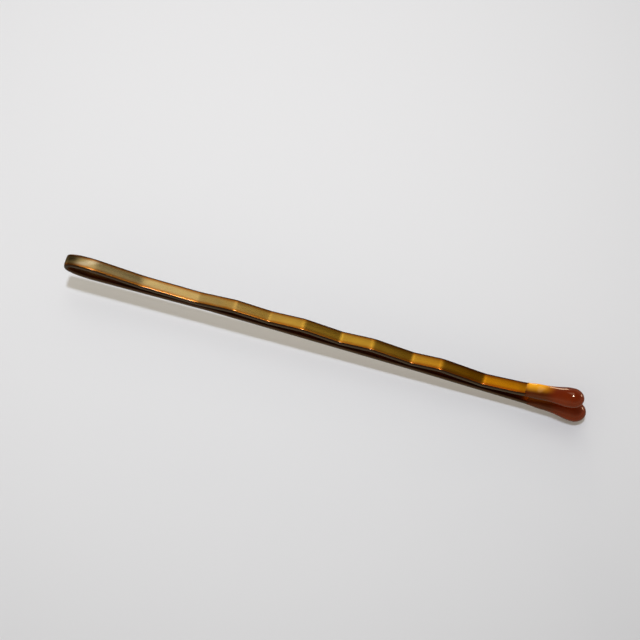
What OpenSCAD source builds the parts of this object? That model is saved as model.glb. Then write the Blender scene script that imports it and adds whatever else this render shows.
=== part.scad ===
// A hair grip bent from one flat spring wire, with a dipped resin ball on each end.
// The loop's nose is at low X and the tips at high X. The straight leg lies below
// and the crimped leg above it. The grip rests on Z = 0 on the lower tip and the loop.

/* [Wire] */
// Width of the flat wire
wire_w = 1.32; // [0.9:0.02:1.7]
// Thickness of the flat wire, whose two edges are fully rounded
wire_t = 0.5; // [0.35:0.01:0.6]

/* [Loop] */
// Outside height of the loop where it is widest
loop_h = 2.2; // [1.9:0.05:2.6]
// Distance from the nose to the widest place of the loop
loop_x = 2.6; // [2.2:0.1:3.5]
// Centre-line height of the blunt front of the nose
nose_h = 0.84; // [0.76:0.02:0.96]
// Centre-line bend radius of the nose's two bends
nose_r = 0.42; // [0.34:0.02:0.46]
// Distance from the nose to the cheeks, where its sides turn into the flanks
cheek_x = 1.15; // [1:0.05:1.5]
// Centre-line height of the loop at the cheeks
cheek_h = 1.44; // [1.3:0.02:1.5]
// Centre-line bend radius of the cheeks
cheek_r = 4; // [1:0.1:5]
// Distance from the nose to where the upper flank has come down
closing_x = 7.6; // [6.5:0.1:9]
// Centre-line height of the upper flank where it has come down
closing_z = 1.46; // [1.4:0.02:1.7]
// Distance from the nose to where the lower flank has come up
heel_x = 14.5; // [10:0.5:20]
// Centre-line radius where the flanks turn
flank_r = 7; // [3:0.5:8]
// Distance from the nose to the highest place of the straight leg's slight bow
bow_x = 34; // [28:0.5:38]
// Height of that bow
bow_h = 0.16; // [0.02:0.02:0.3]

/* [Waves] */
// Distance from the nose to the first valley
first_valley_x = 13.1; // [12:0.1:16]
// Number of waves in the upper leg
wave_count = 4; // [2:1:6]
// Number of those waves that belong to the leg's root, before the leg's own flexing place
root_waves = 1; // [1:1:2]
// Distance from one valley to the next
wave_pitch = 6.925; // [6:0.025:9]
// Length of the first wave's steep side, from its valley to its crest
first_rise = 3.45; // [2.4:0.05:3.7]
// Length of the last wave's steep side
last_rise = 2.75; // [2.4:0.05:3.7]
// Height of the first crest over its valleys
first_wave_h = 0.38; // [0.2:0.02:0.6]
// Height of the last crest over its valleys
last_wave_h = 0.5; // [0.3:0.02:0.7]
// Gap between the legs at the first valley
first_gap = 0.15; // [0.1:0.01:0.3]
// Gap between the legs at the other valleys
leg_gap = 0.4; // [0.2:0.01:0.5]
// Centre-line radius of the creases
crimp_r = 2.2; // [1:0.1:4]

/* [Tips] */
// Length of the flared end, from the last valley to the middle of the upper tip
flare_len = 8.5; // [7.5:0.05:11]
// Angle at which the upper leg leaves the last valley
flare_angle = 9.3; // [6:0.1:12]
// Length of the last stretch of the upper leg, which turns up a little more
knee_len = 5.1; // [5.1:0.1:5.6]
// Height of the upper tip's middle over the lower tip's
tip_spread = 2.78; // [2.2:0.05:3.5]
// How far the lower tip reaches past the upper tip
tip_lead = 0.55; // [0:0.05:1]
// Diameter of the lower tip
tip_d = 1.96; // [1.7:0.02:2.4]
// Diameter of the upper tip, which took up a little less resin
upper_tip_d = 1.86; // [1.7:0.02:2.4]
// How far the wire reaches past the middle of its tip
wire_past = 0.2; // [0:0.05:0.4]
// Length of the taper behind the middle of the tip
taper_len = 3; // [2.4:0.1:3]
// Diameter of the resin neck that follows the taper
neck_d = 1; // [0.8:0.02:1.2]
// Length of all the resin behind the middle of the tip
skirt_len = 4.6; // [4.4:0.1:4.7]
// Length over which the neck thins down to the film
fade_len = 1.2; // [0.8:0.1:1.3]
// Thickness of the resin film on the wire's faces and edges
film_t = 0.05; // [0.04:0.01:0.1]

/* [Hidden] */
$fn = 64;
lacquered_steel = [0.52, 0.38, 0.16];
brown_resin = [0.42, 0.16, 0.05];
edge_steps = 6;
ball_steps = 9;
taper_steps = 8;
bend_step = 7;

upper_len = first_valley_x + wave_count * wave_pitch + flare_len;
lower_len = upper_len + tip_lead;
nose_x = -(lower_len + tip_d / 2) / 2;
upper_tip_x = nose_x + upper_len;
lower_tip_x = nose_x + lower_len;
leg_z = tip_d / 2;
loop_mid_z = loop_h / 2;
loop_top_z = loop_h - wire_t / 2;
knee_z = valley_z(wave_count) + (flare_len - knee_len) * tan(flare_angle);
upper_tip_z = leg_z + tip_spread;
upper_end_angle = atan2(upper_tip_z - knee_z, knee_len);
lower_end_angle = -atan2(bow_h, lower_len - bow_x);

// Centre-line height of the straight leg at a distance from the nose
function leg_height(x) = lookup(x, [
  [loop_x, wire_t / 2], [heel_x, leg_z], [bow_x, leg_z + bow_h], [lower_len, leg_z]
]);
function valley_x(i) = first_valley_x + i * wave_pitch;
function valley_z(i) = leg_height(valley_x(i)) + wire_t + (i == 0 ? first_gap : leg_gap);
// A size that changes evenly from the first wave to the last
function graded(first, last, i) =
  first + (last - first) * (wave_count > 1 ? i / (wave_count - 1) : 0);
function wave_h(i) = graded(first_wave_h, last_wave_h, i);
function crest_z(i) = (valley_z(i) + valley_z(i + 1)) / 2 + wave_h(i);

// The wire's corners as [x, z, bend radius], from the lower tip round the loop to the upper tip
lower_corners = [
  [lower_tip_x + wire_past * cos(lower_end_angle), leg_z + wire_past * sin(lower_end_angle), 0],
  [nose_x + bow_x, leg_z + bow_h, flank_r],
  [nose_x + heel_x, leg_z, flank_r],
  [nose_x + loop_x, wire_t / 2, flank_r],
  [nose_x + cheek_x, loop_mid_z - cheek_h / 2, cheek_r],
  [nose_x + wire_t / 2, loop_mid_z - nose_h / 2, nose_r]
];
upper_corners = [
  [nose_x + wire_t / 2, loop_mid_z + nose_h / 2, nose_r],
  [nose_x + cheek_x, loop_mid_z + cheek_h / 2, cheek_r],
  [nose_x + loop_x, loop_top_z, flank_r],
  [nose_x + closing_x, closing_z, flank_r],
  [nose_x + first_valley_x, valley_z(0), crimp_r]
];
wave_corners = [
  for (i = [0:wave_count - 1], side = [0, 1])
    side == 0
      ? [nose_x + valley_x(i) + graded(first_rise, last_rise, i), crest_z(i), crimp_r]
      : [nose_x + valley_x(i + 1), valley_z(i + 1), crimp_r]
];
end_corners = [
  [upper_tip_x - knee_len, knee_z, flank_r],
  [upper_tip_x + wire_past * cos(upper_end_angle),
   upper_tip_z + wire_past * sin(upper_end_angle), 0]
];
corners = concat(lower_corners, upper_corners, wave_corners, end_corners);

// The wire is divided half way along these spans, each named by the corner that it starts from
lower_cut = len(lower_corners) - 3;
upper_cut = len(lower_corners) + 1;
root_cut = len(lower_corners) + len(upper_corners) - 2;
leg_cut = root_cut + 1 + 2 * root_waves;
last_span = len(corners) - 2;

// Direction of span i, turn at corner i and the length that its bend takes from each span
function heading(i) =
  atan2(corners[i + 1][1] - corners[i][1], corners[i + 1][0] - corners[i][0]);
function wrapped(a) = a > 180 ? a - 360 : a < -180 ? a + 360 : a;
function turn(i) = wrapped(heading(i) - heading(i - 1));
function set_back(i) =
  i == 0 || i == last_span + 1 ? 0 : corners[i][2] * tan(abs(turn(i)) / 2);
function along(i, back) =
  [corners[i][0] + back * cos(heading(i)), corners[i][1] + back * sin(heading(i)), heading(i)];
function span_len(i) =
  norm([corners[i + 1][0] - corners[i][0], corners[i + 1][1] - corners[i][1]]);
function span_middle(i) = along(i, (span_len(i) + set_back(i) - set_back(i + 1)) / 2);

// Stations [x, z, direction] round the bend at corner i
function bend_stations(i) =
  let (
    steps = max(2, ceil(abs(turn(i)) / bend_step)),
    side = sign(turn(i)),
    r = corners[i][2],
    start = heading(i - 1),
    cx = corners[i][0] - set_back(i) * cos(start) - side * r * sin(start),
    cz = corners[i][1] - set_back(i) * sin(start) + side * r * cos(start)
  )
  [for (k = [0:steps]) let (a = start + turn(i) * k / steps)
    [cx + side * r * sin(a), cz - side * r * cos(a), a]];
function bends(from, to) = [for (i = [from:to], s = bend_stations(i)) s];

// Stations of the stretch between two of the places where the wire is divided
function divided(from, to) =
  concat([span_middle(from)], bends(from + 1, to), [span_middle(to)]);
upper_wire_end = along(last_span, span_len(last_span));

// The wire's section as [across the width, through the thickness]
section = [
  for (side = [1, -1], k = [0:edge_steps])
    let (a = 90 - 180 * k / edge_steps)
    [side * ((wire_w - wire_t) / 2 + wire_t / 2 * cos(a)), side * wire_t / 2 * sin(a)]
];

// The outline of half a tip as [radius, along the wire], from its round front to its thin end
function tip_outline(ball_d) = concat(
  [for (k = [0:ball_steps]) let (a = 90 * k / ball_steps) ball_d / 2 * [sin(a), cos(a)]],
  [for (k = [1:taper_steps]) let (s = k / taper_steps)
    [neck_d / 2 + (ball_d - neck_d) / 4 * (1 + cos(180 * s)), -taper_len * s]],
  [[neck_d / 2, fade_len - skirt_len], [wire_t / 2, -skirt_len], [0, -skirt_len]]
);

module wire(stations) {
  n = len(section);
  rings = len(stations);
  points = [
    for (s = stations, p = section)
      [s[0] - p[1] * sin(s[2]), p[0], s[1] + p[1] * cos(s[2])]
  ];
  sides = [
    for (r = [0:rings - 2], k = [0:n - 1])
      [r * n + k, (r + 1) * n + k, (r + 1) * n + (k + 1) % n, r * n + (k + 1) % n]
  ];
  first_end = [for (k = [0:n - 1]) k];
  last_end = [for (k = [n - 1:-1:0]) (rings - 1) * n + k];
  polyhedron(points, concat(sides, [first_end, last_end]));
}

// Resin round the wire's end, with the ball's middle at the origin and the wire along -X
module dipped_tip(ball_d) {
  color(brown_resin) difference() {
    union() {
      rotate([0, 90, 0]) rotate_extrude() polygon(tip_outline(ball_d));
      translate([-skirt_len, 0, 0]) rotate([0, 90, 0]) linear_extrude(height = skirt_len)
        skirt_section();
    }
    translate([-skirt_len - 1, 0, 0]) rotate([0, 90, 0])
      linear_extrude(height = skirt_len + 1 + wire_past)
        polygon([for (p = section) [-p[1], p[0]]]);
  }
}

module skirt_section() {
  square([wire_t + 2 * film_t, wire_w - wire_t], center = true);
  for (side = [-1, 1])
    translate([0, side * (wire_w - wire_t) / 2]) circle(d = wire_t + 2 * film_t);
}

module straight_leg() {
  color(lacquered_steel)
    wire(concat([along(0, 0)], bends(1, lower_cut), [span_middle(lower_cut)]));
}

module nose_bend() {
  color(lacquered_steel)
    wire(divided(lower_cut, upper_cut));
}

module loop_shoulder() {
  color(lacquered_steel)
    wire(divided(upper_cut, root_cut));
}

module crimped_leg_root() {
  color(lacquered_steel)
    wire(divided(root_cut, leg_cut));
}

module crimped_leg() {
  color(lacquered_steel)
    wire(concat([span_middle(leg_cut)], bends(leg_cut + 1, last_span), [upper_wire_end]));
}

module straight_leg_tip() {
  translate([lower_tip_x, 0, leg_z]) rotate([0, -lower_end_angle, 0]) dipped_tip(tip_d);
}

module crimped_leg_tip() {
  translate([upper_tip_x, 0, upper_tip_z]) rotate([0, -upper_end_angle, 0])
    dipped_tip(upper_tip_d);
}

straight_leg();
nose_bend();
loop_shoulder();
crimped_leg_root();
crimped_leg();
straight_leg_tip();
crimped_leg_tip();
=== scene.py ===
import math

import bmesh
import bpy
from mathutils import Matrix, Vector


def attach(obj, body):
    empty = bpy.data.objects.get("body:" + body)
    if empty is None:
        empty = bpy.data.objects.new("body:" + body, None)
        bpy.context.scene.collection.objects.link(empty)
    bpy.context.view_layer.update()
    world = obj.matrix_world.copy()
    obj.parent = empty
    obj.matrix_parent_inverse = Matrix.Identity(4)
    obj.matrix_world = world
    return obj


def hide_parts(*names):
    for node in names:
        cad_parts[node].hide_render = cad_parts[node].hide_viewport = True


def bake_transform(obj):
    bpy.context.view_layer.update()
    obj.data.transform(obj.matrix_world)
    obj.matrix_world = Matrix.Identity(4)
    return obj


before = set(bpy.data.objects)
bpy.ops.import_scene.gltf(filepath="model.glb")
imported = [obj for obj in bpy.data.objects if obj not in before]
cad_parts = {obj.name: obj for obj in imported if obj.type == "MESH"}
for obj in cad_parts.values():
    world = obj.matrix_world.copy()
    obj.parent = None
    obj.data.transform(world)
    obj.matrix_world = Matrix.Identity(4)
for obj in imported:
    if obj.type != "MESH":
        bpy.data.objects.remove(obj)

# The grip lies along X with its loop at low X, the straight leg below the crimped leg.
# Lengths are in millimetres and become metres in place().
MM = 0.001
WIRE_W = 1.32
WIRE_T = 0.5
LOOP_H = 2.2
LOOP_X = 2.6
NOSE_H = 0.84
NOSE_R = 0.42
CHEEK_X = 1.15
CHEEK_H = 1.44
CHEEK_R = 4
CLOSING_X = 7.6
CLOSING_Z = 1.46
HEEL_X = 14.5
FLANK_R = 7
BOW_X = 34
BOW_H = 0.16
FIRST_VALLEY_X = 13.1
WAVE_COUNT = 4
WAVE_PITCH = 6.925
FIRST_RISE = 3.45
LAST_RISE = 2.75
FIRST_WAVE_H = 0.38
LAST_WAVE_H = 0.5
FIRST_GAP = 0.15
LEG_GAP = 0.4
CRIMP_R = 2.2
FLARE_LEN = 8.5
FLARE_ANGLE = 9.3
KNEE_LEN = 5.1
TIP_SPREAD = 2.78
TIP_LEAD = 0.55
TIP_D = 1.96
UPPER_TIP_D = 1.86
WIRE_PAST = 0.2
TAPER_LEN = 3
NECK_D = 1
SKIRT_LEN = 4.6
FADE_LEN = 1.2

UPPER_LEN = FIRST_VALLEY_X + WAVE_COUNT * WAVE_PITCH + FLARE_LEN
LOWER_LEN = UPPER_LEN + TIP_LEAD
NOSE_X = -(LOWER_LEN + TIP_D / 2) / 2
LEG_Z = TIP_D / 2
UPPER_TIP = (NOSE_X + UPPER_LEN, LEG_Z + TIP_SPREAD)
LOWER_TIP = (NOSE_X + LOWER_LEN, LEG_Z)


def part_way(first, last, share):
    return first + (last - first) * share


def leg_height(x):
    """Centre-line height of the straight leg at a distance from the nose."""
    points = [(LOOP_X, WIRE_T / 2), (HEEL_X, LEG_Z), (BOW_X, LEG_Z + BOW_H), (LOWER_LEN, LEG_Z)]
    for (x0, z0), (x1, z1) in zip(points, points[1:]):
        if x <= x1:
            return z0 + (z1 - z0) * (x - x0) / (x1 - x0)
    return LEG_Z


def valley(i):
    """Valley i of the waves as (distance from the nose, centre-line height)."""
    x = FIRST_VALLEY_X + i * WAVE_PITCH
    return x, leg_height(x) + WIRE_T + (LEG_GAP if i else FIRST_GAP)


KNEE = (
    UPPER_LEN - KNEE_LEN,
    valley(WAVE_COUNT)[1] + (FLARE_LEN - KNEE_LEN) * math.tan(math.radians(FLARE_ANGLE)),
)
UPPER_END_ANGLE = math.atan2(UPPER_TIP[1] - KNEE[1], KNEE_LEN)
LOWER_END_ANGLE = -math.atan2(BOW_H, LOWER_LEN - BOW_X)


def wire_corners():
    """The wire's corners as (x, z, bend radius), from the lower tip to the upper tip."""
    mid = LOOP_H / 2
    lower = [
        (LOWER_LEN + WIRE_PAST * math.cos(LOWER_END_ANGLE),
         LEG_Z + WIRE_PAST * math.sin(LOWER_END_ANGLE), 0),
        (BOW_X, LEG_Z + BOW_H, FLANK_R),
        (HEEL_X, LEG_Z, FLANK_R),
        (LOOP_X, WIRE_T / 2, FLANK_R),
        (CHEEK_X, mid - CHEEK_H / 2, CHEEK_R),
        (WIRE_T / 2, mid - NOSE_H / 2, NOSE_R),
    ]
    upper = [
        (WIRE_T / 2, mid + NOSE_H / 2, NOSE_R),
        (CHEEK_X, mid + CHEEK_H / 2, CHEEK_R),
        (LOOP_X, LOOP_H - WIRE_T / 2, FLANK_R),
        (CLOSING_X, CLOSING_Z, FLANK_R),
        (*valley(0), CRIMP_R),
    ]
    waves = []
    for i in range(WAVE_COUNT):
        share = i / (WAVE_COUNT - 1)
        crest_x = valley(i)[0] + part_way(FIRST_RISE, LAST_RISE, share)
        wave_h = part_way(FIRST_WAVE_H, LAST_WAVE_H, share)
        crest_z = (valley(i)[1] + valley(i + 1)[1]) / 2 + wave_h
        waves += [(crest_x, crest_z, CRIMP_R), (*valley(i + 1), CRIMP_R)]
    end = [
        (*KNEE, FLANK_R),
        (UPPER_LEN + WIRE_PAST * math.cos(UPPER_END_ANGLE),
         UPPER_TIP[1] + WIRE_PAST * math.sin(UPPER_END_ANGLE), 0),
    ]
    return [(x + NOSE_X, z, r) for x, z, r in lower + upper + waves + end]


CORNERS = wire_corners()
# Spans, each numbered by the corner that it starts from. The joints listed in pin_pieces lie on
# these four
LOWER_FLEX = 3
UPPER_FLEX = 7
ROOT_FLEX = 9
LEG_FLEX = 12
# and its visible pieces meet half way along these three
NOSE_CUT = 5
SHOULDER_CUT = 8
WAVE_CUT = 10
LAST_SPAN = len(CORNERS) - 2


def heading(i):
    """Direction of span i."""
    (x0, z0, _), (x1, z1, _) = CORNERS[i], CORNERS[i + 1]
    return math.atan2(z1 - z0, x1 - x0)


def turn(i):
    """How far the wire turns at corner i."""
    return math.remainder(heading(i) - heading(i - 1), 2 * math.pi)


def set_back(i):
    """The length that the bend at a corner takes from each of its two spans."""
    return 0 if i in (0, len(CORNERS) - 1) else CORNERS[i][2] * math.tan(abs(turn(i)) / 2)


def on_span(i, share):
    """The point at a share of span i's straight part."""
    (x0, z0, _), (x1, z1, _) = CORNERS[i], CORNERS[i + 1]
    length = math.hypot(x1 - x0, z1 - z0)
    back = set_back(i) + share * (length - set_back(i) - set_back(i + 1))
    return Vector((x0 + back * math.cos(heading(i)), 0, z0 + back * math.sin(heading(i))))


# Half of the wire's width from the middle to the rounded edge, as shares
ACROSS = [0, 0.2, 0.4, 0.55, 0.66, 0.74, 0.8, 0.85, 0.89, 0.925, 0.955, 0.977, 0.991, 0.998, 1]
# The power of a section's outline: 2 is an ellipse, and more is squarer
WIRE_SQUARENESS = 14
NOSE_SQUARENESS = 5
SKIRT_SQUARENESS = 6
BALL_SQUARENESS = 2
NOSE_NARROWING = 0.07
CROWN = 0.02
# Beyond this share of the half width the face falls away towards the rounded edge, by a share
# of half the wire's thickness
BEVEL_FROM = 0.78
BEVEL = 0.14
# Points this far through the wire's thickness, as a share of it, lie on the inner face
INNER_FROM = 0.3
# The longest step between rings on straight and in bent wire
RING_STEP = 0.35
BEND_STEP = math.radians(2.5)


def flat_ring(half_width, half_height, squareness, crown=0, bevel=0):
    """Points (across, through) round a flat, rounded section."""
    quarter = []
    for s in ACROSS:
        fall = bevel * max(0, (s - BEVEL_FROM) / (1 - BEVEL_FROM)) ** 2
        edge = math.sqrt(max(0, 1 - s ** squareness))
        quarter.append((half_width * s, half_height * (1 - crown * s * s - fall) * edge))
    top = [(-y, h) for y, h in reversed(quarter)] + quarter[1:]
    return top + [(y, -h) for y, h in reversed(top[1:-1])]


def loop_edges(bm, verts):
    return [bm.edges.get(pair) for pair in zip(verts, verts[1:] + verts[:1])]


def skin(bm, rings):
    """Extrudes the first ring of points along the others and closes the first end.

    Returns the rings of vertices and the edges of the first and the last one.
    """
    circle = bmesh.ops.create_circle(bm, cap_ends=True, segments=len(rings[0]), radius=1)
    verts = list(circle["verts"])
    for v, p in zip(verts, rings[0]):
        v.co = p
    edges = start_edges = loop_edges(bm, verts)
    vert_rings = [verts]
    for ring in rings[1:]:
        made = bmesh.ops.extrude_edge_only(bm, edges=edges)["geom"]
        fresh = {v for v in made if isinstance(v, bmesh.types.BMVert)}
        verts = [
            next(e.other_vert(v) for e in v.link_edges if e.other_vert(v) in fresh)
            for v in verts
        ]
        for v, p in zip(verts, ring):
            v.co = p
        edges = loop_edges(bm, verts)
        vert_rings.append(verts)
    return vert_rings, start_edges, edges


def wire_stations(first, last):
    """(point, direction) along the wire between the places where its pieces meet."""
    stations = []

    def straight(a, b, angle):
        steps = max(1, math.ceil((b - a).length / RING_STEP))
        for k in range(1 if stations else 0, steps + 1):
            stations.append((a.lerp(b, k / steps), angle))

    start = on_span(first, 0.5 if first else 0)
    for i in range(first + 1, last + 1):
        before = heading(i - 1)
        entry = on_span(i - 1, 1)
        straight(start, entry, before)
        side_radius = math.copysign(CORNERS[i][2], turn(i))
        centre = entry + side_radius * Vector((-math.sin(before), 0, math.cos(before)))
        steps = max(2, math.ceil(abs(turn(i)) / BEND_STEP))
        for k in range(1, steps + 1):
            a = before + turn(i) * k / steps
            stations.append((centre + side_radius * Vector((math.sin(a), 0, -math.cos(a))), a))
        start = on_span(i, 0)
    straight(start, on_span(last, 1 if last == LAST_SPAN else 0.5), heading(last))
    return stations


def place(name, bm, material):
    """Finishes a mesh built in millimetres and adds it to the scene."""
    bmesh.ops.scale(bm, vec=(MM, MM, MM), verts=bm.verts)
    bmesh.ops.recalc_face_normals(bm, faces=bm.faces)
    for f in bm.faces:
        f.smooth = True
    mesh = bpy.data.meshes.new(name)
    bm.to_mesh(mesh)
    bm.free()
    mesh.materials.append(material)
    obj = bpy.data.objects.new(name, mesh)
    bpy.context.scene.collection.objects.link(obj)
    return obj


def wire_piece(name, first, last, material):
    """A stretch of wire with square, abutting ends."""
    sections = []
    rings = []
    for point, a in wire_stations(first, last):
        # The wire is a little narrower and rounder where it's bent tightest, round the nose
        front = max(0, 1 - (point.x - NOSE_X) / CHEEK_X)
        half_width = WIRE_W / 2 * (1 - NOSE_NARROWING * front)
        squareness = part_way(WIRE_SQUARENESS, NOSE_SQUARENESS, front)
        section = flat_ring(half_width, WIRE_T / 2, squareness, CROWN, BEVEL)
        sections.append(section)
        rings.append(
            [point + Vector((-h * math.sin(a), y, h * math.cos(a))) for y, h in section]
        )
    bm = bmesh.new()
    # Marks the face towards the inside of the loop, which gets painted shade
    inner = bm.verts.layers.float.new("inner")
    vert_rings, start_edges, end_edges = skin(bm, rings)
    for verts, section in zip(vert_rings, sections):
        for v, (_, h) in zip(verts, section):
            v[inner] = 1 if h < -INNER_FROM * WIRE_T else 0
    bmesh.ops.edgeloop_fill(bm, edges=end_edges)
    for e in start_edges + end_edges:
        e.smooth = False
    return place(name, bm, material)


# How far the resin's thin end stands off the wire, how much further it reaches past the
# wire's edges at the neck, and how sharply those edges sink into the swelling ball
FILM = 0.012
NECK_OVER_EDGE = 0.03
EDGE_POWER = 6
# The skirt's section is round from here, behind the tip's middle
ROUND_FROM = 1
# The ball is drop-shaped: it's widest a little behind the tip's middle
BULGE_BACK = 0.17
SKIRT_RINGS = 34
FRONT_RINGS = 14


def ease(t):
    t = min(1, max(0, t))
    return t * t * (3 - 2 * t)


def skirt_section(x, ball_d):
    """(half width, half height, squareness) of the resin behind the ball's widest place."""
    fade = ease((x + SKIRT_LEN) / FADE_LEN)
    neck = WIRE_T / 2 + FILM + (NECK_D / 2 - WIRE_T / 2 - FILM) * fade
    swell = (1 + math.cos(math.pi * min(1, (-BULGE_BACK - x) / TAPER_LEN))) / 2
    radius = NECK_D / 2 + (ball_d - NECK_D) / 2 * swell
    half_height = neck if x < -TAPER_LEN - BULGE_BACK else max(neck, radius)
    edge = WIRE_W / 2 + FILM + NECK_OVER_EDGE * fade
    half_width = (edge ** EDGE_POWER + radius ** EDGE_POWER) ** (1 / EDGE_POWER)
    half_width = min(half_width, max(edge, ball_d / 2))
    rounding = ease((x + SKIRT_LEN) / (SKIRT_LEN - ROUND_FROM))
    return half_width, half_height, part_way(SKIRT_SQUARENESS, BALL_SQUARENESS, rounding)


def tip_piece(name, ball_d, middle, angle, material):
    """The dipped resin round a wire end: a film that swells to a neck and then to a ball."""

    def ring(x, *section):
        return [Vector((x, y, h)) for y, h in flat_ring(*section)]

    rings = []
    for k in range(SKIRT_RINGS):
        x = -SKIRT_LEN + (SKIRT_LEN - BULGE_BACK) * k / SKIRT_RINGS
        rings.append(ring(x, *skirt_section(x, ball_d)))
    for k in range(FRONT_RINGS):
        a = math.pi / 2 * k / FRONT_RINGS
        radius = ball_d / 2 * math.cos(a)
        x = (ball_d / 2 + BULGE_BACK) * math.sin(a) - BULGE_BACK
        rings.append(ring(x, radius, radius, BALL_SQUARENESS))
    bm = bmesh.new()
    _, start_edges, end_edges = skin(bm, rings)
    made = bmesh.ops.extrude_edge_only(bm, edges=end_edges)["geom"]
    pole = [v for v in made if isinstance(v, bmesh.types.BMVert)]
    bmesh.ops.pointmerge(bm, verts=pole, merge_co=(ball_d / 2, 0, 0))
    for e in start_edges:
        e.smooth = False
    turn_up = Matrix.Rotation(angle, 3, Vector((0, -1, 0)))
    bmesh.ops.rotate(bm, cent=(0, 0, 0), matrix=turn_up, verts=bm.verts)
    bmesh.ops.translate(bm, vec=(middle[0], 0, middle[1]), verts=bm.verts)
    return place(name, bm, material)


class Signal:
    """A shader socket that can be used in ordinary arithmetic."""

    def __init__(self, tree, socket):
        self.tree = tree
        self.socket = socket

    def node(self, kind, *inputs, output=0, **settings):
        """Makes any node, with inputs given as (name or index, value) pairs."""
        node = self.tree.nodes.new(kind)
        for key, value in settings.items():
            setattr(node, key, value)
        for key, value in inputs:
            if isinstance(value, Signal):
                self.tree.links.new(value.socket, node.inputs[key])
            else:
                node.inputs[key].default_value = value
        return Signal(self.tree, node.outputs[output])

    def math(self, operation, *values):
        return self.node("ShaderNodeMath", *enumerate(values), operation=operation)

    def __add__(self, other):
        return self.math("ADD", self, other)

    def __sub__(self, other):
        return self.math("SUBTRACT", self, other)

    def __rsub__(self, other):
        return self.math("SUBTRACT", other, self)

    def __mul__(self, other):
        return self.math("MULTIPLY", self, other)

    def __abs__(self):
        return self.math("ABSOLUTE", self)

    __radd__ = __add__
    __rmul__ = __mul__

    def axis(self, index):
        """The vector's X, Y or Z, by number."""
        return self.node("ShaderNodeSeparateXYZ", (0, self), output=index)

    def stretched(self, scale):
        """The coordinates times a scale on each axis."""
        return self.node("ShaderNodeMapping", (0, self), ("Scale", scale), vector_type="POINT")

    def noise(self, scale, detail):
        return self.node(
            "ShaderNodeTexNoise", ("Vector", self), ("Scale", scale), ("Detail", detail)
        )

    def between(self, low, high):
        """0 below low, 1 above high and smooth between them."""
        return self.node(
            "ShaderNodeMapRange", ("Value", self), ("From Min", low), ("From Max", high),
            interpolation_type="SMOOTHSTEP",
        )

    def scaled(self, factor):
        """The colour times a factor."""
        return self.node(
            "ShaderNodeVectorMath", (0, self), ("Scale", factor), operation="SCALE"
        )

    def mix(self, first, second):
        """The first colour where this is 0 and the second where it is 1."""
        return self.node(
            "ShaderNodeMix", (0, self), (6, first), (7, second), output=2, data_type="RGBA"
        )


def new_material(name):
    """(material, its Principled shader, a Signal to start from)"""
    material = bpy.data.materials.new(name)
    material.use_nodes = True
    tree = material.node_tree
    shader = tree.nodes["Principled BSDF"]
    coordinates = tree.nodes.new("ShaderNodeTexCoord").outputs["Object"]
    return material, shader, Signal(tree, coordinates)


def drive(shader, name, signal):
    signal.tree.links.new(signal.socket, shader.inputs[name])


def rgba(red, green, blue):
    return (red, green, blue, 1)


def grey(level):
    return rgba(level, level, level)


# The lacquer's colours along the face, from the loop to the tips
BRONZE = rgba(0.42, 0.295, 0.115)
GOLD = rgba(0.53, 0.28, 0.025)
AMBER = rgba(0.46, 0.165, 0.001)
# and beside the rims, in the rims, on the very edge, in the painted highlight and in the
# painted shade on the inner face
LIGHT_RIM_AMBER = rgba(0.34, 0.1, 0.006)
DEEP_RIM_AMBER = rgba(0.3, 0.06, 0.001)
RIM_BROWN = rgba(0.08, 0.032, 0.009)
EDGE_GREY = rgba(0.19, 0.14, 0.09)
PALE_PAINTED_HIGHLIGHT = rgba(0.62, 0.5, 0.3)
INNER_PAINTED_SHADE = rgba(0.2, 0.06, 0.008)
INNER_SHADE_SHARE = 0.6
# Where bronze goes over into gold and gold into amber, in metres along X, and how far the
# borders wander
TO_GOLD = (-0.02, 0.002)
TO_AMBER = (0.002, 0.018)
BORDER_WANDER = 0.004
# Where the bands beside the rims, in the rims and on the edge begin, as shares of half the
# width, and how far the first wanders
BESIDE_RIM = (0.28, 0.8)
BESIDE_RIM_WANDER = 0.2
RIM = (0.76, 0.86)
EDGE = (0.94, 0.995)
# Painted shade on the side away from the viewer, in the gold and again in the amber
FAR_SIDE = (-0.1, 0.8)
FAR_SHADE_GOLD = 0.16
FAR_SHADE_AMBER = 0.24
# A painted highlight: a pale slanting band over the loop. Its place from the nose, how far
# it slants for each millimetre across the wire, its half width, its soft border as shares of
# that, how far the border wanders and how strongly the highlight is painted
HIGHLIGHT_X = 2.1
HIGHLIGHT_SLANT = 1.9
HIGHLIGHT_REACH = 0.95
HIGHLIGHT_BORDER = (0.1, 1)
HIGHLIGHT_WANDER = 0.8
HIGHLIGHT_SHARE = 0.65
# In front of that the face gets painted shade, again at a slant
FRONT_SLANT = 2.8
FRONT_BORDER = (0.5, 2)
FRONT_WANDER = 0.8
FRONT_PAINTED_SHADE = 0.42
# Rolling streaks along the wire, fine wear and larger patches
STREAK_SCALE = (180, 2600, 900)
WEAR_SCALE = 900
PATCH_SCALE = (420, 1500, 1500)
PATCH_DARKEST = 0.75
PATCH_RANGE = 0.5
POLISH = 0.19
STREAK_ROUGHNESS = 0.17
RIM_ROUGHNESS = 0.11


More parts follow.
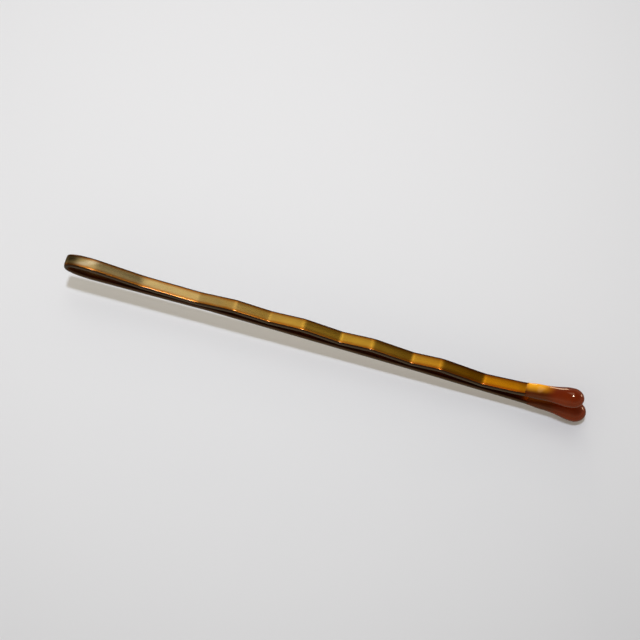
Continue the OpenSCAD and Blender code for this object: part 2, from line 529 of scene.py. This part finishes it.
def lacquered_wire():
    """Rolled steel under clear amber lacquer, paler at the loop and redder at the rims,
    with a painted highlight over the loop and painted shade on the far half, round the nose
    and on the inner face.
    """
    material, shader, where = new_material("lacquered wire")
    x = where.axis(0)
    y = where.axis(1)
    streaks = where.stretched(STREAK_SCALE).noise(1, 3)
    wear = where.noise(WEAR_SCALE, 2)
    patches = where.stretched(PATCH_SCALE).noise(1, 2)
    inner = where.node("ShaderNodeAttribute", output=2, attribute_name="inner")

    along = x + (wear - 0.5) * BORDER_WANDER
    bronze_to_gold = along.between(*TO_GOLD)
    gold_to_amber = along.between(*TO_AMBER)
    to_half_widths = 1 / (MM * WIRE_W / 2)
    across = abs(y) * to_half_widths
    beside_rim = (across + (wear - 0.5) * BESIDE_RIM_WANDER).between(*BESIDE_RIM)
    rim = across.between(*RIM)
    edge = across.between(*EDGE)

    # Painted shade on the half of the face away from the viewer
    far_side = (y * to_half_widths).between(*FAR_SIDE)
    far_painted_shade = 1 - far_side * (
        bronze_to_gold * FAR_SHADE_GOLD + gold_to_amber * FAR_SHADE_AMBER
    )
    # Painted shade round the nose, at a slant
    behind_front = (x - MM * NOSE_X - y * FRONT_SLANT) * (1 / MM) + patches * FRONT_WANDER
    front_painted_shade = FRONT_PAINTED_SHADE + behind_front.between(*FRONT_BORDER) * (1 - FRONT_PAINTED_SHADE)
    # Painted highlight: a pale slanting band over the loop
    off_band = abs(x - MM * (NOSE_X + HIGHLIGHT_X) - y * HIGHLIGHT_SLANT) * (1 / (MM * HIGHLIGHT_REACH))
    off_highlight = (off_band + (patches - 0.5) * HIGHLIGHT_WANDER).between(*HIGHLIGHT_BORDER)
    painted_highlight = (1 - off_highlight) * HIGHLIGHT_SHARE

    face = gold_to_amber.mix(bronze_to_gold.mix(BRONZE, GOLD), AMBER)
    # Random patches, then the painted highlight over the loop
    face = painted_highlight.mix(face.scaled(PATCH_DARKEST + patches * PATCH_RANGE), PALE_PAINTED_HIGHLIGHT)
    rim_colour = rim.mix(gold_to_amber.mix(LIGHT_RIM_AMBER, DEEP_RIM_AMBER), RIM_BROWN)
    outer_face = beside_rim.mix(face, rim_colour).scaled(far_painted_shade * front_painted_shade)
    # Painted shade on the face towards the inside of the loop
    both_faces = (inner * INNER_SHADE_SHARE).mix(outer_face, INNER_PAINTED_SHADE)
    drive(shader, "Base Color", edge.mix(both_faces, EDGE_GREY))
    roughness = rim.mix(POLISH + streaks * STREAK_ROUGHNESS, grey(RIM_ROUGHNESS))
    drive(shader, "Roughness", roughness)
    shader.inputs["Metallic"].default_value = 1
    # The lacquer gathers along the rims
    drive(shader, "Coat Weight", 0.02 + rim * 0.45)
    shader.inputs["Coat IOR"].default_value = 1.8
    shader.inputs["Coat Roughness"].default_value = 0.12
    # and is smoother there
    relief = (streaks * 0.6 + wear * 0.4) * (1 - rim * 0.7)
    bump = where.node(
        "ShaderNodeBump", ("Height", relief), ("Strength", 0.25), ("Distance", 0.00003)
    )
    drive(shader, "Normal", bump)
    return material


# The thick resin is between these two, and its neck has painted shade this dark on the near
# side
RESIN_DARK = rgba(0.105, 0.006, 0.0001)
RESIN_LIGHT = rgba(0.185, 0.019, 0.0005)
NECK_PAINTED_SHADE = rgba(0.08, 0.012, 0.0004)
# Over the wire the upper tip has painted light and the lower tip painted shade, dimmer at both
# ends: shares of its red, green and blue
DIM_SHARES = (0.5, 0.33, 0.2)
LOWER_PAINTED_SHADE = rgba(0.12, 0.015, 0.0005)
UPPER_PAINTED_LIGHT = rgba(1, 0.42, 0.012)
# Where the resin thins, where the painted light brightens and where it ends, behind the ball's
# middle
THINNING = (1.5, 2.8)
BRIGHTENING = (1.7, 3.3)
ENDING = (4.3, 4.8)
# The painted light is on the far side, from here to here across the wire
PAINTED_LIGHT_SIDE = (-0.45, 0.5)
CLOUD_SCALE = 700
CLOUD_ALONG = 0.8
CLOUD_ACROSS = 0.3


def resin(name, middle, angle, thin_light_and_shade):
    """Brown-red dipped resin, with a painted tone where it is thin over the wire: painted light
    on the upper tip, painted shade on the lower.
    """
    material, shader, where = new_material(name)
    axis = Vector((math.cos(angle), 0, math.sin(angle)))
    forward = where.node(
        "ShaderNodeVectorMath", (0, where), (1, tuple(axis)), output=1, operation="DOT_PRODUCT"
    )
    middle_forward = MM * (middle[0] * axis.x + middle[1] * axis.z)
    cloud = where.noise(CLOUD_SCALE, 2)
    behind = (middle_forward - forward) * (1 / MM) + (cloud - 0.5) * CLOUD_ALONG
    sideways = (where.axis(1) + (cloud - 0.5) * MM * CLOUD_ACROSS) * (1 / MM)
    dim_painted_light = rgba(*(level * share for level, share in zip(thin_light_and_shade, DIM_SHARES)))
    # Painted light over the wire on the far side, dimmed towards both ends
    painted_light = behind.between(*BRIGHTENING).mix(dim_painted_light, thin_light_and_shade)
    painted_light = behind.between(*ENDING).mix(painted_light, dim_painted_light)
    # Painted shade on the near side of the neck
    neck = sideways.between(*PAINTED_LIGHT_SIDE).mix(NECK_PAINTED_SHADE, painted_light)
    body = cloud.mix(RESIN_DARK, RESIN_LIGHT)
    drive(shader, "Base Color", behind.between(*THINNING).mix(body, neck))
    shader.inputs["Roughness"].default_value = 0.11
    shader.inputs["Specular IOR Level"].default_value = 1
    shader.inputs["Specular Tint"].default_value = rgba(1, 0.72, 0.48)
    return material


def pin_pieces():
    wire = lacquered_wire()
    straight = wire_piece("straight_leg_and_lower_flank", 0, NOSE_CUT, wire)
    nose = wire_piece("nose_and_upper_flank", NOSE_CUT, SHOULDER_CUT, wire)
    shoulder = wire_piece("shoulder_to_first_wave", SHOULDER_CUT, WAVE_CUT, wire)
    waved = wire_piece("waved_leg", WAVE_CUT, LAST_SPAN, wire)
    pieces = [straight, nose, shoulder, waved]
    joints = [
        ("straight_leg", "nose_bend", on_span(LOWER_FLEX, 0), on_span(LOWER_FLEX, 1)),
        ("nose_bend", "loop_shoulder", on_span(UPPER_FLEX, 0), on_span(UPPER_FLEX, 1)),
        ("loop_shoulder", "crimped_leg_root", on_span(ROOT_FLEX, 0), on_span(ROOT_FLEX, 1)),
        ("crimped_leg_root", "crimped_leg", on_span(LEG_FLEX, 0), on_span(LEG_FLEX, 1)),
    ]
    for piece, (a, b, start, end) in zip(pieces, joints):
        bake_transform(piece)
    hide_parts("straight_leg")
    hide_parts("nose_bend")
    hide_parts("loop_shoulder", "crimped_leg_root")
    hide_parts("crimped_leg")
    # The upper tip's thin resin gets painted light, the lower tip's painted shade
    for name, ball_d, middle, angle, thin_light_and_shade, body, node in (
        ("straight_resin_tip", TIP_D, LOWER_TIP, LOWER_END_ANGLE, LOWER_PAINTED_SHADE,
         "straight_leg", "straight_leg_tip"),
        ("crimped_resin_tip", UPPER_TIP_D, UPPER_TIP, UPPER_END_ANGLE, UPPER_PAINTED_LIGHT,
         "crimped_leg", "crimped_leg_tip"),
    ):
        material = resin(name + "_resin", middle, angle, thin_light_and_shade)
        tip = tip_piece(name, ball_d, middle, angle, material)
        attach(tip, body)
        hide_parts(node)


# The view of the photograph: elevation, azimuth and roll of the camera, its distance, the
# focal length in widths of the frame, and how far right of and above the middle of the
# grip's base it aims, as the camera sees it
CAMERA_ELEVATION = math.radians(65.3)
CAMERA_AZIMUTH = math.radians(5)
CAMERA_ROLL = math.radians(-11.81)
CAMERA_DISTANCE = 330
CAMERA_FOCAL = 5.4893
AIM_RIGHT = -0.358
AIM_UP = 2.088
SENSOR_WIDTH = 36


def camera():
    toward = Vector((
        math.sin(CAMERA_AZIMUTH) * math.cos(CAMERA_ELEVATION),
        -math.cos(CAMERA_AZIMUTH) * math.cos(CAMERA_ELEVATION),
        math.sin(CAMERA_ELEVATION),
    ))
    level = Vector((math.cos(CAMERA_AZIMUTH), math.sin(CAMERA_AZIMUTH), 0))
    right = Matrix.Rotation(-CAMERA_ROLL, 3, toward) @ level
    up = toward.cross(right)
    data = bpy.data.cameras.new("camera")
    data.sensor_width = SENSOR_WIDTH
    data.lens = SENSOR_WIDTH * CAMERA_FOCAL
    data.clip_start = 0.01
    data.clip_end = 10
    obj = bpy.data.objects.new("camera", data)
    aim = AIM_RIGHT * right + AIM_UP * up
    turned = Matrix((right, up, toward)).transposed().to_4x4()
    turned.translation = (aim + CAMERA_DISTANCE * toward) * MM
    obj.matrix_world = turned
    bpy.context.scene.collection.objects.link(obj)
    bpy.context.scene.camera = obj


# The table lies under the lower tip and falls away under the loop
FLOOR_DROP_NOSE = 3.1
FLOOR_DROP_TIP = 0.05
# Its size, and a painted pool of light on it: the place where it is lightest, measured from
# under the lower tip, and the distance over which it fades, all in metres
FLOOR_SIZE = 3
FLOOR_LIGHTEST = (-0.041, 0.02, 0)
FLOOR_FADE = 0.065
FLOOR_LIGHT = grey(0.9)
FLOOR_DULL = grey(0.66)
# What the grip's gloss sees of it
FLOOR_IN_GLOSS = rgba(0.26, 0.235, 0.18)


def floor():
    bm = bmesh.new()
    bmesh.ops.create_grid(bm, x_segments=1, y_segments=1, size=FLOOR_SIZE / 2)
    mesh = bpy.data.meshes.new("floor")
    bm.to_mesh(mesh)
    bm.free()
    material, shader, where = new_material("white table")
    glossy = where.node("ShaderNodeLightPath", output=3)
    # Painted pool of light: the table's colour fades away from its lightest place
    away = where.node(
        "ShaderNodeVectorMath", (0, where), (1, FLOOR_LIGHTEST), output=1, operation="DISTANCE"
    ) * (1 / FLOOR_FADE)
    white = (away * away).mix(FLOOR_LIGHT, FLOOR_DULL)
    drive(shader, "Base Color", glossy.mix(white, FLOOR_IN_GLOSS))
    shader.inputs["Roughness"].default_value = 0.9
    shader.inputs["Specular IOR Level"].default_value = 0
    mesh.materials.append(material)
    obj = bpy.data.objects.new("floor", mesh)
    slope = math.atan2(FLOOR_DROP_NOSE - FLOOR_DROP_TIP, LOWER_TIP[0] - NOSE_X)
    obj.rotation_euler = (0, -slope, 0)
    obj.location = (LOWER_TIP[0] * MM, 0, -FLOOR_DROP_TIP * MM)
    bpy.context.scene.collection.objects.link(obj)


# Distance and sizes of the area lights are in metres
LIGHT_DISTANCE = 2
WHITE_LIGHT = (1, 1, 1)
WARM_LIGHT = (1, 0.9, 0.75)
COOL_LIGHT = (0.78, 0.85, 1)
LAMP_SIZE = (0.5, 0.4)
LAMP_RADIANCE = 7
# The room: its colour, and its strength overhead and what haze adds near the horizon, as
# surfaces see it and as gloss sees it
ROOM_COLOUR = rgba(1, 0.93, 0.81)
ROOM_LIGHT = (0.25, 1.4)
ROOM_IN_GLOSS = (0.07, 0.3)


def area_light(name, direction, size, radiance, colour):
    """A rectangular softbox of the given radiance, facing the grip."""
    data = bpy.data.lights.new(name, "AREA")
    data.shape = "RECTANGLE"
    data.size, data.size_y = size
    data.energy = radiance * math.pi * size[0] * size[1]
    data.color = colour
    obj = bpy.data.objects.new(name, data)
    away = Vector(direction).normalized()
    obj.location = away * LIGHT_DISTANCE
    obj.rotation_euler = away.to_track_quat("Z", "Y").to_euler()
    bpy.context.scene.collection.objects.link(obj)


def room():
    world = bpy.data.worlds.new("studio")
    world.use_nodes = True
    tree = world.node_tree
    background = tree.nodes["Background"]
    background.inputs["Color"].default_value = ROOM_COLOUR
    way = Signal(tree, tree.nodes.new("ShaderNodeTexCoord").outputs["Generated"])
    low = 1 - way.axis(2)
    haze = low * low
    glossy = way.node("ShaderNodeLightPath", output=3)
    strength = way.node(
        "ShaderNodeMix", (0, glossy), (2, ROOM_LIGHT[0] + haze * ROOM_LIGHT[1]),
        (3, ROOM_IN_GLOSS[0] + haze * ROOM_IN_GLOSS[1]),
    )
    tree.links.new(strength.socket, background.inputs["Strength"])
    bpy.context.scene.world = world


def lights():
    sun = bpy.data.lights.new("overhead key", "SUN")
    sun.angle = math.radians(5)
    sun.energy = 1.35
    sun.color = COOL_LIGHT
    obj = bpy.data.objects.new("overhead key", sun)
    obj.rotation_euler = Vector((-0.08, 0, 1)).to_track_quat("Z", "Y").to_euler()
    bpy.context.scene.collection.objects.link(obj)
    area_light("bright back window", (-0.095, 0.42, 0.905), (0.3, 1), 1.3, WHITE_LIGHT)
    area_light("dim back left window", (-0.3, 0.42, 0.86), (0.6, 1), 0.75, WHITE_LIGHT)
    area_light("far left lamp", (-0.42, 0.9, 0.12), LAMP_SIZE, LAMP_RADIANCE, WARM_LIGHT)
    area_light("far right lamp", (0.763, 0.639, 0.095), LAMP_SIZE, LAMP_RADIANCE, WARM_LIGHT)


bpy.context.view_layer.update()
pin_pieces()
floor()
lights()
room()
camera()
bpy.context.scene.view_settings.view_transform = "Standard"
